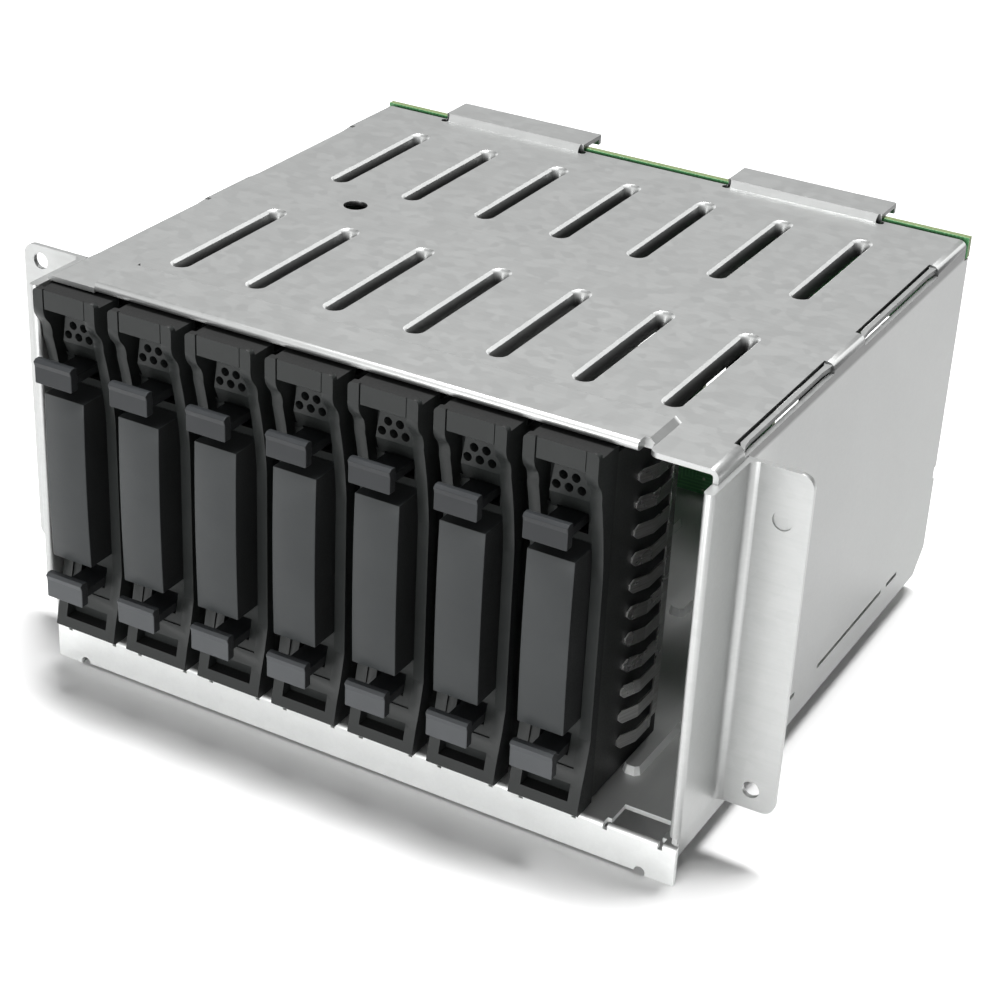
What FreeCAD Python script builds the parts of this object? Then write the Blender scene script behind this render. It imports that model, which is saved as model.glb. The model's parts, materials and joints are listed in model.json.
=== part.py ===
"""Hot swap drive cage for eight small form factor drives, in millimetres.

X runs across the bays, Y from the front to the back, Z up. The sizes below fill
the document's spreadsheet, and every sketch, pad and placement is bound to it.
Coordinates in the sketches: X = 0 at the middle of the cage, Y = 0 at the front
edge of the side walls, Z = 0 at the feet.
"""
import math
import os

import FreeCAD
import Part
import Sketcher

SIZES = {
    # cage
    "bay_count": 8,
    "blank_count": 7,
    "bay_pitch": 17.5,
    "sheet": 1.0,
    "roof_height": 84.0,
    "wall_depth": 125.4,
    "roof_depth": 123.0,
    "wall_foot": 6.0,
    "bend_radius": 1.6,
    # hemmed front edge of the roof
    "hem_setback": 2.0,
    "hem_fold": 6.0,
    "hem_strip": 12.5,
    "hem_left": 11.5,
    "hem_right": 14.0,
    "hem_ramp": 1.2,
    "hem_relief": 1.9,
    "hem_relief_depth": 2.6,
    "hem_corner": 1.8,
    # guide ribs pressed down into the roof
    "groove_floor_width": 1.9,
    "groove_length": 33.8,
    "groove_depth": 2.3,
    "groove_draft": 14.0,
    "groove_lip": 0.55,
    "groove_wall": 1.0,
    "rib_front": 20.1,
    "rib_row_step": 56.0,
    "datum_hole_diameter": 5.0,
    "datum_hole_x": -41.8,
    "datum_hole_y": 66.0,
    # tabs over the board at the back of the roof
    "tab_width": 35.0,
    "tab_left_x": -36.2,
    "tab_right_x": 33.8,
    "tab_rise": 1.5,
    "tab_reach": 8.2,
    "tab_lip": 2.2,
    "relief_diameter": 1.8,
    # lanced guides in the side walls
    "lance_front": 12.5,
    "lance_length": 39.5,
    "lance_step": 54.5,
    "lance_inset": 2.2,
    "lance_slit": 0.4,
    "lance_strip": 0.95,
    "lance_drop": 0.5,
    "lance_bottom": 2.1,
    "low_slot_height": 1.0,
    "low_slot_z": 12.0,
    "low_slot_length": 35.0,
    "low_slot_front": 17.5,
    "low_slot_step": 46.5,
    "short_slot_front": 102.0,
    "short_slot_length": 6.0,
    # mounting flanges
    "flange_setback": 13.5,
    "fold_reach": 2.0,
    "right_flange": 11.5,
    "right_flange_bottom": 12.0,
    "right_flange_top": 81.4,
    "left_flange": 14.0,
    "left_flange_bottom": 17.0,
    "left_flange_top": 83.2,
    "flange_corner": 2.5,
    "mount_hole": 3.4,
    "right_hole_x": 6.6,
    "right_hole_z": 4.2,
    "left_hole_x": 10.0,
    "left_hole_z": 3.2,
    "half_shear_diameter": 3.8,
    "half_shear_height": 0.5,
    "half_shear_z": 9.7,
    # floor tray
    "floor_top": 8.2,
    "floor_flange": 4.3,
    "floor_flange_end": 4.0,
    "skirt_bottom": 0.5,
    "leg_width": 5.8,
    "leg_notch": 1.1,
    "window_width": 10.2,
    "window_depth": 7.3,
    "notch_width": 0.9,
    "notch_depth": 0.3,
    "rail_foot_width": 3.8,
    "rail_rise": 1.8,
    "rail_draft": 14.0,
    "rail_length": 37.0,
    "rail_front": 16.0,
    "rail_hollow": 1.6,
    "lug_width": 8.0,
    "lug_height": 9.0,
    "lug_bays": 3,
    "foot_width": 16.0,
    "foot_x": 35.0,
    # backplane
    "board_thick": 1.6,
    "board_gap": 1.2,
    "board_shoulder": 79.5,
    "board_rise": 0.25,
    "board_clear": 0.2,
    "air_slot_width": 6.0,
    "air_slot_height": 34.0,
    "connector_length": 40.0,
    "connector_width": 6.4,
    "connector_depth": 8.6,
    "connector_z": 46.0,
    "port_length": 22.0,
    "port_width": 10.0,
    "port_depth": 9.5,
    "port_x": 26.25,
    "port_z": 60.0,
    "power_length": 21.0,
    "power_width": 9.6,
    "power_depth": 10.0,
    "power_z": 28.0,
    "power_pitch": 4.2,
    "screw_diameter": 3.0,
    "screw_clear": 0.05,
    "screw_length": 4.0,
    "screw_head": 5.6,
    "screw_head_height": 1.8,
    "board_hole": 3.4,
    # blank: bezel
    "blank_proud": 2.0,
    "bezel_width": 14.4,
    "bezel_bottom": 8.8,
    "bezel_top": 83.8,
    "bezel_corner": 1.0,
    "bezel_cap": 1.8,
    "bezel_cap_height": 3.9,
    "cap_ledge": 1.2,
    "vent_face": 2.2,
    "wedge_width": 2.2,
    "tab_clear": 0.4,
    "bezel_waist": 3.2,
    "bezel_back": 5.6,
    "bezel_step": 82.6,
    "bezel_web": 1.0,
    "cap_thick": 1.4,
    "channel_width": 9.8,
    "channel_bottom": 17.6,
    "channel_ramp": 9.0,
    "ramp_bottom": 69.0,
    "seam_width": 0.35,
    "vent_diameter": 1.7,
    "vent_pitch": 2.45,
    "vent_z": 73.8,
    "recess_bottom": 11.4,
    "recess_height": 3.4,
    "recess_depth": 3.0,
    # blank: body
    "body_width": 12.8,
    "body_depth": 27.6,
    "body_bottom": 8.5,
    "body_top": 80.3,
    "body_wall": 1.2,
    "body_front_room": 8.0,
    "rib_depth": 1.4,
    "rib_thick": 1.2,
    "rib_step": 23.0,
    "rib_count": 2,
    # blank: grip panel and latches
    "panel_width": 9.4,
    "panel_bottom": 27.4,
    "panel_top": 63.0,
    "panel_front": 3.0,
    "panel_bulge": 0.35,
    "panel_thick": 1.4,
    "latch_width": 8.7,
    "latch_front": 5.8,
    "latch_plate": 1.9,
    "upper_latch_z": 66.4,
    "upper_latch_height": 4.9,
    "lower_latch_z": 19.5,
    "lower_latch_height": 5.3,
    "latch_lip": 1.5,
    "latch_proud": 0.3,
    "stem_width": 5.6,
    "stem_rise": 0.2,
    "stem_height": 1.8,
    "tail_thick": 1.6,
    "latch_travel": 1.8,
    "latch_clear": 0.3,
    "nose_clear": 0.2,
    # blank: spring fingers
    "finger_count": 11,
    "finger_pitch": 5.6,
    "finger_height": 2.9,
    "finger_first": 14.2,
    "finger_thick": 0.3,
    "finger_bow": 1.7,
    "finger_length": 14.9,
    "finger_tip": 0.9,
    "finger_band": 2.0,
}


class Size:
    """A number together with the spreadsheet formula that it comes from."""

    def __init__(self, value, text):
        self.value = float(value)
        self.text = text

    def combine(self, other, sign, value):
        return Size(value, "(%s %s %s)" % (self.text, sign, other.text))

    def __add__(self, other):
        other = size_of(other)
        return self.combine(other, "+", self.value + other.value)

    def __radd__(self, other):
        return size_of(other) + self

    def __sub__(self, other):
        other = size_of(other)
        return self.combine(other, "-", self.value - other.value)

    def __rsub__(self, other):
        return size_of(other) - self

    def __mul__(self, other):
        other = size_of(other)
        return self.combine(other, "*", self.value * other.value)

    def __rmul__(self, other):
        return size_of(other) * self

    def __truediv__(self, other):
        other = size_of(other)
        return self.combine(other, "/", self.value / other.value)

    def __neg__(self):
        return Size(-self.value, "(-1 * %s)" % self.text)


def size_of(number):
    """Any number as a Size."""
    if isinstance(number, Size):
        return number
    return Size(number, "%r" % float(number))


class SizeTable:
    """The spreadsheet's cells as attributes: S.sheet, S.bay_pitch and so on."""

    def __init__(self, document, sizes):
        cells = document.addObject("Spreadsheet::Sheet", "Sizes")
        for row, (name, value) in enumerate(sizes.items(), start=1):
            cells.set("A%d" % row, name)
            cells.set("B%d" % row, "%r" % value)
            cells.setAlias("B%d" % row, name)
            setattr(self, name, Size(value, "Sizes.%s" % name))
        document.recompute()


doc = FreeCAD.newDocument("drive_cage")
S = SizeTable(doc, SIZES)


# ---------------------------------------------------------------- helpers

def bind(thing, path, size):
    """Set a property and tie it to the spreadsheet."""
    thing.setExpression(path, size_of(size).text)


def new_body(name):
    body = doc.addObject("PartDesign::Body", name)
    body.Label = name
    return body


def origin_plane(body, plane):
    for feature in body.Origin.OriginFeatures:
        if feature.Role == plane + "_Plane":
            return feature
    raise ValueError(plane)


def new_sketch(body, name, plane, at):
    """A sketch parallel to an origin plane, at a place on that plane's axis."""
    sketch = body.newObject("Sketcher::SketchObject", name)
    sketch.AttachmentSupport = [(origin_plane(body, plane), "")]
    sketch.MapMode = "FlatFace"
    offset = size_of(at)
    if plane == "XZ":
        offset = -offset
    bind(sketch, "AttachmentOffset.Base.z", offset)
    return sketch


def dimension(sketch, kind, size, *picks):
    """Add one driving dimension, tied to the spreadsheet."""
    size = size_of(size)
    index = sketch.addConstraint(Sketcher.Constraint(kind, *picks, size.value))
    sketch.setExpression("Constraints[%d]" % index, size.text)


def fix_point(sketch, geometry, point, x, y):
    dimension(sketch, "DistanceX", x, -1, 1, geometry, point)
    dimension(sketch, "DistanceY", y, -1, 1, geometry, point)


def arc_between(start, end, radius):
    """The short arc from start to end. A positive radius bulges to the right."""
    half = (end - start) * 0.5
    middle = start + half
    normal = FreeCAD.Vector(-half.y, half.x, 0).normalize()
    if radius < 0:
        normal = -normal
    rise = math.sqrt(radius * radius - half.Length ** 2)
    centre = middle + normal * rise
    summit = centre - normal * abs(radius)
    return Part.Arc(start, summit, end), radius > 0


def outline(sketch, points):
    """A closed outline. A third entry in a point makes the next edge an arc."""
    points = [[size_of(entry) for entry in point] for point in points]
    vectors = [FreeCAD.Vector(p[0].value, p[1].value, 0) for p in points]
    ends = []
    for index, point in enumerate(points):
        start = vectors[index]
        end = vectors[(index + 1) % len(points)]
        if len(point) == 2:
            edge = sketch.addGeometry(Part.LineSegment(start, end))
            ends.append((edge, 1, 2))
            continue
        arc, forward = arc_between(start, end, point[2].value)
        edge = sketch.addGeometry(arc)
        ends.append((edge, 1, 2) if forward else (edge, 2, 1))
        radius = point[2] if point[2].value > 0 else -point[2]
        dimension(sketch, "Radius", radius, edge)
    for index, (edge, _, last) in enumerate(ends):
        following, first, _ = ends[(index + 1) % len(ends)]
        sketch.addConstraint(Sketcher.Constraint("Coincident", edge, last, following, first))
    for (edge, first, _), point in zip(ends, points):
        fix_point(sketch, edge, first, point[0], point[1])


def rectangle(x0, x1, y0, y1):
    return [(x0, y0), (x1, y0), (x1, y1), (x0, y1)]


def stadium(middle, front, back, half):
    """A round-ended outline along the second direction."""
    return [(middle - half, front + half, half * 1.0001),
            (middle + half, front + half),
            (middle + half, back - half, half * 1.0001),
            (middle - half, back - half)]


def cut_corners(middle, front, back, half, cut):
    """A rectangle along the second direction with its corners cut off."""
    return [(middle - half + cut, front), (middle + half - cut, front),
            (middle + half, front + cut), (middle + half, back - cut),
            (middle + half - cut, back), (middle - half + cut, back),
            (middle - half, back - cut), (middle - half, front + cut)]


def circle(sketch, x, y, diameter):
    x, y, diameter = size_of(x), size_of(y), size_of(diameter)
    centre = FreeCAD.Vector(x.value, y.value, 0)
    up = FreeCAD.Vector(0, 0, 1)
    edge = sketch.addGeometry(Part.Circle(centre, up, diameter.value / 2))
    fix_point(sketch, edge, 3, x, y)
    dimension(sketch, "Diameter", diameter, edge)


def finish_feature(body, feature, reverse):
    feature.Reversed = reverse
    doc.recompute()
    body.Tip = feature
    return feature


def pad(body, name, plane, start, end, *outlines, circles=(), draft=None):
    """Fill the outlines from start to end. A positive draft widens on the way."""
    sketch = new_sketch(body, name + "_sketch", plane, start)
    for points in outlines:
        outline(sketch, points)
    for round_one in circles:
        circle(sketch, *round_one)
    feature = body.newObject("PartDesign::Pad", name)
    feature.Profile = sketch
    bind(feature, "Length", size_of(end) - start)
    if draft is not None:
        bind(feature, "TaperAngle", draft)
    return finish_feature(body, feature, plane == "XZ")


def pocket(body, name, plane, start, end, *outlines, circles=(), draft=None):
    """Cut the outlines away from start to end, with a draft like a pad's."""
    sketch = new_sketch(body, name + "_sketch", plane, start)
    for points in outlines:
        outline(sketch, points)
    for round_one in circles:
        circle(sketch, *round_one)
    before = body.Tip.Shape.Volume
    feature = body.newObject("PartDesign::Pocket", name)
    feature.Profile = sketch
    bind(feature, "Length", size_of(end) - start)
    if draft is not None:
        bind(feature, "TaperAngle", draft)
    finish_feature(body, feature, plane != "XZ")
    if feature.Shape.Volume >= before - 1e-6:
        raise ValueError("%s cuts nothing" % name)
    return feature


def pattern(body, name, features, axis, step, count):
    """Repeat features along one of the body's own axes."""
    feature = body.newObject("PartDesign::LinearPattern", name)
    feature.Originals = features
    for line in body.Origin.OriginFeatures:
        if line.Role == axis + "_Axis":
            feature.Direction = (line, [""])
    bind(feature, "Length", size_of(step) * (size_of(count) - 1))
    bind(feature, "Occurrences", count)
    doc.recompute()
    body.Tip = feature
    return feature


def mirror(body, name, features):
    """Repeat features on the other side of the middle plane."""
    feature = body.newObject("PartDesign::Mirrored", name)
    feature.Originals = features
    feature.MirrorPlane = (origin_plane(body, "YZ"), [""])
    doc.recompute()
    body.Tip = feature
    return feature


def round_edges(body, name, radius, wanted):
    """Fillet the edges whose middle point passes the test."""
    base = body.Tip
    names = []
    for index, edge in enumerate(base.Shape.Edges, start=1):
        middle = edge.valueAt((edge.FirstParameter + edge.LastParameter) / 2)
        if wanted(edge, middle):
            names.append("Edge%d" % index)
    if not names:
        raise ValueError("%s finds no edge" % name)
    feature = body.newObject("PartDesign::Fillet", name)
    feature.Base = (base, names)
    bind(feature, "Radius", radius)
    doc.recompute()
    body.Tip = feature
    return feature


def runs_along(edge, axis):
    """True for a straight edge parallel to the axis."""
    if not isinstance(edge.Curve, Part.Line):
        return False
    return abs(edge.Curve.Direction.dot(axis)) > 0.999


def near(number, size):
    return abs(number - size_of(size).value) < 0.02


X_AXIS = FreeCAD.Vector(1, 0, 0)
Y_AXIS = FreeCAD.Vector(0, 1, 0)
Z_AXIS = FreeCAD.Vector(0, 0, 1)


# ---------------------------------------------------------------- shared places

half_width = S.bay_pitch * S.bay_count / 2
inner_half = half_width - S.sheet
inner_bays = S.bay_count - 1
first_wall_x = -1 * half_width + S.bay_pitch
roof_under = S.roof_height - S.sheet
floor_under = S.floor_top - S.sheet
hem_top = S.roof_height + S.sheet
hem_left_x = S.hem_left - half_width
hem_right_x = half_width - S.hem_right
board_front = S.roof_depth + S.board_gap
board_back = board_front + S.board_thick
groove_slope = Size(math.tan(math.radians(SIZES["groove_draft"])), "tan(Sizes.groove_draft)")
origin_x = (S.right_flange - S.left_flange) / 2
origin_y = (board_back + S.power_depth - S.blank_proud - S.latch_front - S.latch_proud) / 2


def bay_x(number):
    """Middle of a bay, counted from 1 at the left."""
    return S.bay_pitch * (number - 0.5) - half_width


# ---------------------------------------------------------------- cage shell

def roof_rib(body, name, front):
    """A guide rib: a slot through the roof with its edges turned down."""
    half = S.groove_floor_width / 2
    outer = half + S.groove_wall
    back = front + S.groove_length
    bottom = roof_under - S.groove_depth
    lip = S.roof_height - S.groove_lip
    spread = (lip - bottom) * groove_slope
    ridge = pad(body, name + "_ridge", "XY", bottom, roof_under + 0.2, cut_corners(
        first_wall_x, front - S.groove_wall, back + S.groove_wall, outer, half))
    groove = pocket(body, name, "XY", bottom, S.roof_height,
                    stadium(first_wall_x, front, back, half), draft=S.groove_draft)
    rim = pocket(body, name + "_rim", "XY", lip, S.roof_height, stadium(
        first_wall_x, front - spread, back + spread, half + spread), draft=45)
    return ridge, groove, rim


def make_hem(body):
    """The roof's front edge: a strip raised by one sheet and folded under."""
    front = S.hem_setback
    fold_back = front + S.hem_fold
    strip_back = front + S.hem_strip
    pocket(body, "hem_opening", "XY", roof_under, S.roof_height, rectangle(
        hem_left_x, hem_right_x, front - 1, strip_back + S.sheet))
    pad(body, "hem_strip", "YZ", hem_left_x, hem_right_x, [
        (front + S.sheet, roof_under),
        (fold_back, roof_under),
        (fold_back, S.roof_height),
        (strip_back - S.sheet, S.roof_height),
        (strip_back + S.sheet, roof_under),
        (strip_back + S.sheet * 2, roof_under),
        (strip_back + S.sheet * 2, S.roof_height),
        (strip_back + S.sheet, S.roof_height),
        (strip_back - S.sheet, hem_top),
        (front + S.sheet, hem_top, S.sheet * 1.0001)])
    for name, edge, way in (("right", hem_right_x, 1), ("left", hem_left_x, -1)):
        inner = edge - S.hem_ramp * way
        outer = edge + S.hem_ramp * way
        pad(body, "hem_ramp_" + name, "XZ", front + S.sheet * 2, strip_back, [
            (inner, hem_top),
            (edge, hem_top),
            (outer, S.roof_height),
            (outer, roof_under),
            (edge, roof_under),
            (inner, S.roof_height)])
    relief_x = hem_right_x + S.hem_relief / 2
    pocket(body, "hem_relief", "XY", roof_under - S.sheet, hem_top, [
        (relief_x - S.hem_relief, front - 1),
        (relief_x - S.hem_relief, front + S.hem_relief_depth),
        (relief_x, front + S.hem_relief_depth),
        (relief_x, front + S.hem_corner, S.hem_corner * 1.0001),
        (relief_x + S.hem_corner, front),
        (relief_x + S.hem_corner, front - 1)])


def make_roof_tab(body, name, middle):
    """A tab that steps up and reaches back over the board."""
    left = middle - S.tab_width / 2
    right = middle + S.tab_width / 2
    high_under = roof_under + S.tab_rise
    high_top = S.roof_height + S.tab_rise
    start = S.roof_depth - S.sheet * 2
    end = S.roof_depth + S.tab_reach
    pocket(body, name + "_gap", "XY", roof_under, S.roof_height, rectangle(
        left, right, start + S.sheet, S.roof_depth + S.sheet))
    pad(body, name, "YZ", left, right, [
        (start, roof_under),
        (start + S.sheet * 1.6, roof_under),
        (start + S.sheet * 2.2, high_under),
        (end - S.sheet, high_under),
        (end - S.sheet, high_top - S.tab_lip),
        (end, high_top - S.tab_lip),
        (end, high_top),
        (start + S.sheet * 1.6, high_top),
        (start + S.sheet * 0.8, S.roof_height),
        (start, S.roof_height)])
    pocket(body, name + "_relief", "XY", roof_under - S.sheet, high_top + S.sheet, circles=[
        (left, S.roof_depth - S.sheet, S.relief_diameter),
        (right, S.roof_depth - S.sheet, S.relief_diameter)])


def make_lances(body):
    """Guides pressed in along the roof's bends, and the thin slots far below."""
    low_top = S.low_slot_z + S.low_slot_height
    slot = pocket(body, "low_slots", "YZ", -half_width, half_width, rectangle(
        S.low_slot_front, S.low_slot_front + S.low_slot_length, S.low_slot_z, low_top))
    pattern(body, "low_slot_rows", [slot], "Y", S.low_slot_step, 2)
    pocket(body, "short_slots", "YZ", -half_width, half_width, rectangle(
        S.short_slot_front, S.short_slot_front + S.short_slot_length, S.low_slot_z, low_top))
    cut_x = half_width - S.lance_inset
    inner = cut_x + S.lance_slit
    outer = inner + S.lance_strip
    end_x = half_width - S.lance_drop
    top = S.roof_height - S.lance_drop
    ramp = S.lance_strip * 2
    windows = []
    strips = []
    for number in (0, 1):
        front = S.lance_front + S.lance_step * number
        back = front + S.lance_length
        windows.append(pocket(
            body, "lance_window_%d" % number, "XY",
            S.roof_height - S.lance_bottom, S.roof_height,
            rectangle(cut_x, half_width, front, back)))
        strips.append(pad(body, "lance_%d" % number, "XY", top - S.lance_strip, top, [
            (outer, front - 0.5),
            (outer, front),
            (inner, front + ramp),
            (inner, back - ramp * 0.5),
            (cut_x, back),
            (cut_x, back + 0.5),
            (end_x, back + 0.5),
            (end_x, back),
            (outer, back - ramp * 2),
            (outer, front + ramp * 2),
            (end_x, front),
            (end_x, front - 0.5)]))
    mirror(body, "left_lances", windows + strips)


def make_flange(body, name, side, reach, bottom, top):
    """A wall's front edge folded back on itself and turned out as a flange."""
    wall = half_width * side
    inner = inner_half * side
    leg = (half_width + S.sheet) * side
    tip = (half_width + S.sheet + reach) * side
    front = S.flange_setback
    back = front + S.sheet
    middle = wall - S.sheet * 0.5 * side
    pad(body, name, "XY", bottom, top, [
        (inner, -S.fold_reach),
        (leg, -S.fold_reach),
        (leg, front),
        (tip, front),
        (tip, back),
        (middle, back),
        (middle, S.hem_setback * 2),
        (inner, S.hem_setback * 2)])
    round_edges(body, name + "_corners", S.flange_corner, lambda edge, middle: (
        runs_along(edge, Y_AXIS) and near(middle.x, tip)))
    round_edges(body, name + "_bend", S.bend_radius, lambda edge, middle: (
        runs_along(edge, Z_AXIS) and near(middle.x, leg) and near(middle.y, front)))
    round_edges(body, name + "_hem", S.sheet * 0.9, lambda edge, middle: (
        runs_along(edge, Z_AXIS) and near(middle.y, -S.fold_reach)))


def make_cage_shell():
    body = new_body("cage_shell")
    pad(body, "shell", "XZ", 0, S.wall_depth, [
        (-half_width, S.wall_foot),
        (-half_width, S.roof_height),
        (half_width, S.roof_height),
        (half_width, S.wall_foot),
        (inner_half, S.wall_foot),
        (inner_half, roof_under),
        (-inner_half, roof_under),
        (-inner_half, S.wall_foot)])
    round_edges(body, "outer_bends", S.bend_radius, lambda edge, middle: (
        runs_along(edge, Y_AXIS) and near(abs(middle.x), half_width)
        and near(middle.z, S.roof_height)))
    round_edges(body, "inner_bends", S.bend_radius - S.sheet, lambda edge, middle: (
        runs_along(edge, Y_AXIS) and near(abs(middle.x), inner_half)
        and near(middle.z, roof_under)))
    pocket(body, "roof_front", "XY", S.right_flange_top, S.roof_height + 1, rectangle(
        -half_width - 1, half_width + 1, -1, S.hem_setback))
    pocket(body, "roof_back", "XY", S.board_shoulder, S.roof_height + 1, rectangle(
        -half_width - 1, half_width + 1, S.roof_depth, S.wall_depth + 1))
    pocket(body, "back_corners", "YZ", -half_width, half_width, [
        (S.wall_depth - 5, S.wall_foot - 1),
        (S.wall_depth + 1, S.wall_foot - 1),
        (S.wall_depth + 1, S.wall_foot + 5),
        (S.wall_depth, S.wall_foot + 5),
        (S.wall_depth - 5, S.wall_foot)])
    pocket(body, "back_notches", "YZ", -half_width, half_width, rectangle(
        S.wall_depth - 1, S.wall_depth + 1, S.wall_foot + 22, S.wall_foot + 25))
    pocket(body, "skirt_seats", "YZ", -half_width, half_width, rectangle(
        -1, S.sheet, S.wall_foot - 1, S.floor_top + S.sheet))
    make_flange(body, "right_flange", 1, S.right_flange,
                S.right_flange_bottom, S.right_flange_top)
    make_flange(body, "left_flange", -1, S.left_flange,
                S.left_flange_bottom, S.left_flange_top)
    make_hem(body)
    make_roof_tab(body, "left_tab", S.tab_left_x)
    make_roof_tab(body, "right_tab", S.tab_right_x)
    make_lances(body)
    right_x = half_width + S.right_hole_x + S.sheet
    left_x = -half_width - S.left_hole_x - S.sheet
    face = S.flange_setback
    pocket(body, "mount_holes", "XZ", face, face + S.sheet, circles=[
        (right_x, S.right_flange_bottom + S.right_hole_z, S.mount_hole),
        (left_x, S.left_flange_top - S.left_hole_z, S.mount_hole)])
    shear_z = S.right_flange_top - S.half_shear_z
    back = face + S.sheet
    pad(body, "half_shear", "XZ", back, back + S.half_shear_height,
        circles=[(right_x, shear_z, S.half_shear_diameter)])
    pocket(body, "half_shear_dent", "XZ", face, face + S.half_shear_height,
           circles=[(right_x, shear_z, S.half_shear_diameter)])
    for name, front in (("front_rib", S.rib_front),
                        ("back_rib", S.rib_front + S.rib_row_step)):
        pattern(body, name + "s", list(roof_rib(body, name, front)),
                "X", S.bay_pitch, inner_bays)
    pocket(body, "datum_hole", "XY", roof_under, S.roof_height, circles=[
        (S.datum_hole_x, S.datum_hole_y, S.datum_hole_diameter)])
    return body


# ---------------------------------------------------------------- floor tray

def make_rail(body, name, front):
    """A guide rail pressed up out of the floor, hollow underneath."""
    half = S.rail_foot_width / 2
    back = front + S.rail_length
    wall = S.sheet + 0.1
    hump = pad(body, name, "XY", S.floor_top, S.floor_top + S.rail_rise,
               cut_corners(first_wall_x, front, back, half, half / 2), draft=-S.rail_draft)
    hollow = pocket(body, name + "_hollow", "XY", floor_under,
                    floor_under + S.rail_rise, rectangle(
                        first_wall_x - S.rail_hollow / 2, first_wall_x + S.rail_hollow / 2,
                        front + wall, back - wall))
    return hump, hollow


def make_floor_tray():
    body = new_body("floor_tray")
    lug_step = S.bay_pitch * S.lug_bays
    pad(body, "tray", "YZ", -inner_half, inner_half, [
        (0, S.skirt_bottom),
        (0, S.floor_top),
        (board_front, S.floor_top),
        (board_front, floor_under),
        (S.sheet, floor_under),
        (S.sheet, S.skirt_bottom)])
    skirt_ends = [pad(body, "skirt_end", "XZ", 0, S.sheet, rectangle(
        inner_half - S.leg_width + S.sheet, half_width, 0, S.floor_top))]
    flange = pad(body, "side_flange", "YZ", inner_half - S.sheet, inner_half, rectangle(
        S.sheet * 6, board_front - S.floor_flange_end,
        S.floor_top - 0.2, S.floor_top + S.floor_flange))
    foot = pad(body, "foot", "XZ", board_front - S.sheet, board_front, rectangle(
        S.foot_x - S.foot_width / 2, S.foot_x + S.foot_width / 2, 0, floor_under + 0.2))
    lug = pad(body, "lug", "XZ", board_front - S.sheet, board_front, rectangle(
        lug_step - S.lug_width / 2, lug_step + S.lug_width / 2,
        floor_under, S.floor_top + S.lug_height))
    mirror(body, "left_side", skirt_ends + [flange, foot, lug])
    pad(body, "middle_lug", "XZ", board_front - S.sheet, board_front, rectangle(
        -S.lug_width / 2, S.lug_width / 2, floor_under, S.floor_top + S.lug_height))
    lug_hole = S.screw_diameter + S.screw_clear * 2
    lug_z = S.floor_top + S.lug_height / 2
    pocket(body, "lug_holes", "XZ", board_front - S.sheet, board_front, circles=[
        (-lug_step, lug_z, lug_hole), (0, lug_z, lug_hole), (lug_step, lug_z, lug_hole)])
    pocket(body, "leg_notches", "XZ", 0, S.sheet, circles=[
        (inner_half - S.leg_width, S.skirt_bottom, S.leg_notch * 2),
        (-inner_half + S.leg_width, S.skirt_bottom, S.leg_notch * 2)])
    round_edges(body, "skirt_bend", S.sheet * 0.8, lambda edge, middle: (
        runs_along(edge, X_AXIS) and near(middle.y, 0) and near(middle.z, S.floor_top)
        and edge.Length > half_width.value))
    middle = bay_x(1)
    half_window = S.window_width / 2
    window = pocket(body, "latch_window", "XY", floor_under, S.floor_top, rectangle(
        middle - half_window, middle + half_window, S.sheet, S.window_depth))
    notch_bottom = floor_under - S.notch_depth
    notch = pocket(body, "bend_notches", "XZ", 0, S.sheet * 2,
                   rectangle(middle - half_window - S.notch_width, middle - half_window,
                             notch_bottom, S.floor_top),
                   rectangle(middle + half_window, middle + half_window + S.notch_width,
                             notch_bottom, S.floor_top))
    pattern(body, "latch_windows", [window, notch], "X", S.bay_pitch, S.bay_count)
    hump, hollow = make_rail(body, "front_rail", S.rail_front)
    pattern(body, "front_rails", [hump, hollow], "X", S.bay_pitch, inner_bays)
    hump, hollow = make_rail(body, "back_rail", S.rail_front + S.rib_row_step)
    pattern(body, "back_rails", [hump, hollow], "X", S.bay_pitch, inner_bays)
    return body


# ---------------------------------------------------------------- backplane

def make_board():
    body = new_body("backplane_board")
    low = inner_half - S.board_clear
    bottom = floor_under
    top = S.roof_height + S.board_rise
    shoulder = S.board_shoulder + S.board_clear
    pad(body, "board", "XZ", board_front, board_back, [
        (-low, bottom), (low, bottom), (low, shoulder), (half_width, shoulder),
        (half_width, top), (-half_width, top), (-half_width, shoulder), (-low, shoulder)])
    lug_step = S.bay_pitch * S.lug_bays
    lug_z = S.floor_top + S.lug_height / 2
    pocket(body, "screw_holes", "XZ", board_front, board_back, circles=[
        (-lug_step, lug_z, S.board_hole), (0, lug_z, S.board_hole),
        (lug_step, lug_z, S.board_hole)])
    slot = pocket(body, "air_slot", "XZ", board_front, board_back, rectangle(
        first_wall_x - S.air_slot_width / 2, first_wall_x + S.air_slot_width / 2,
        S.connector_z - S.air_slot_height / 2, S.connector_z + S.air_slot_height / 2))
    pattern(body, "air_slots", [slot], "X", S.bay_pitch, inner_bays)
    return body


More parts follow.
